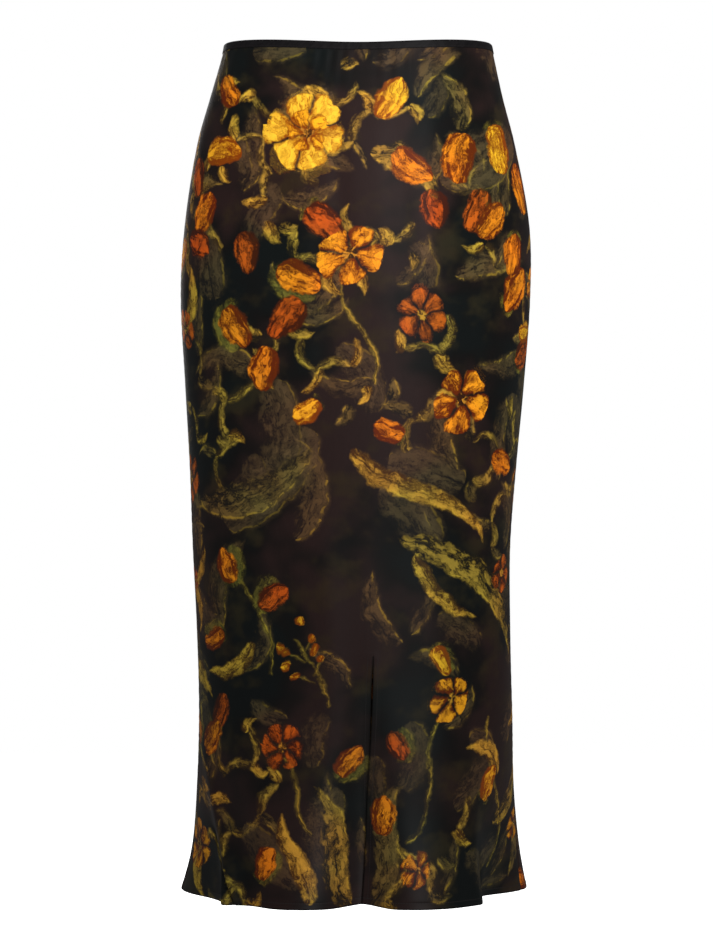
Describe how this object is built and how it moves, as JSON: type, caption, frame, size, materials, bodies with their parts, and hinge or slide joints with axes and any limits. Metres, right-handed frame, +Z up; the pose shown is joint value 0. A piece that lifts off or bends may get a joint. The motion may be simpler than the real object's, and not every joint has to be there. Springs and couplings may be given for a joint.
{
  "type": "slip skirt",
  "caption": "Worn-form midi slip skirt in dark floral satin: a hollow tube open at waist and hem, with a narrow black waist band, a front slit and a fluted hem.",
  "frame": {"origin": "middle of the waist opening, level with the top of the waist band over the side seams, where the wearer's waist holds the skirt", "axes": "+Z up, the skirt hanging down from the origin along -Z; the front, with the slit, faces -Y; +X is the viewer's right"},
  "size_m": [0.3497, 0.2723, 0.8425],
  "materials": {
    "printed_satin": "smooth satin, near black with yellow, orange and olive flowers and leaves",
    "black_binding": "plain black satin bias binding"
  },
  "bodies": {
    "root": {"front_panel": "printed_satin", "back_panel": "printed_satin", "waist_band": "black_binding"}
  },
  "joints": []
}
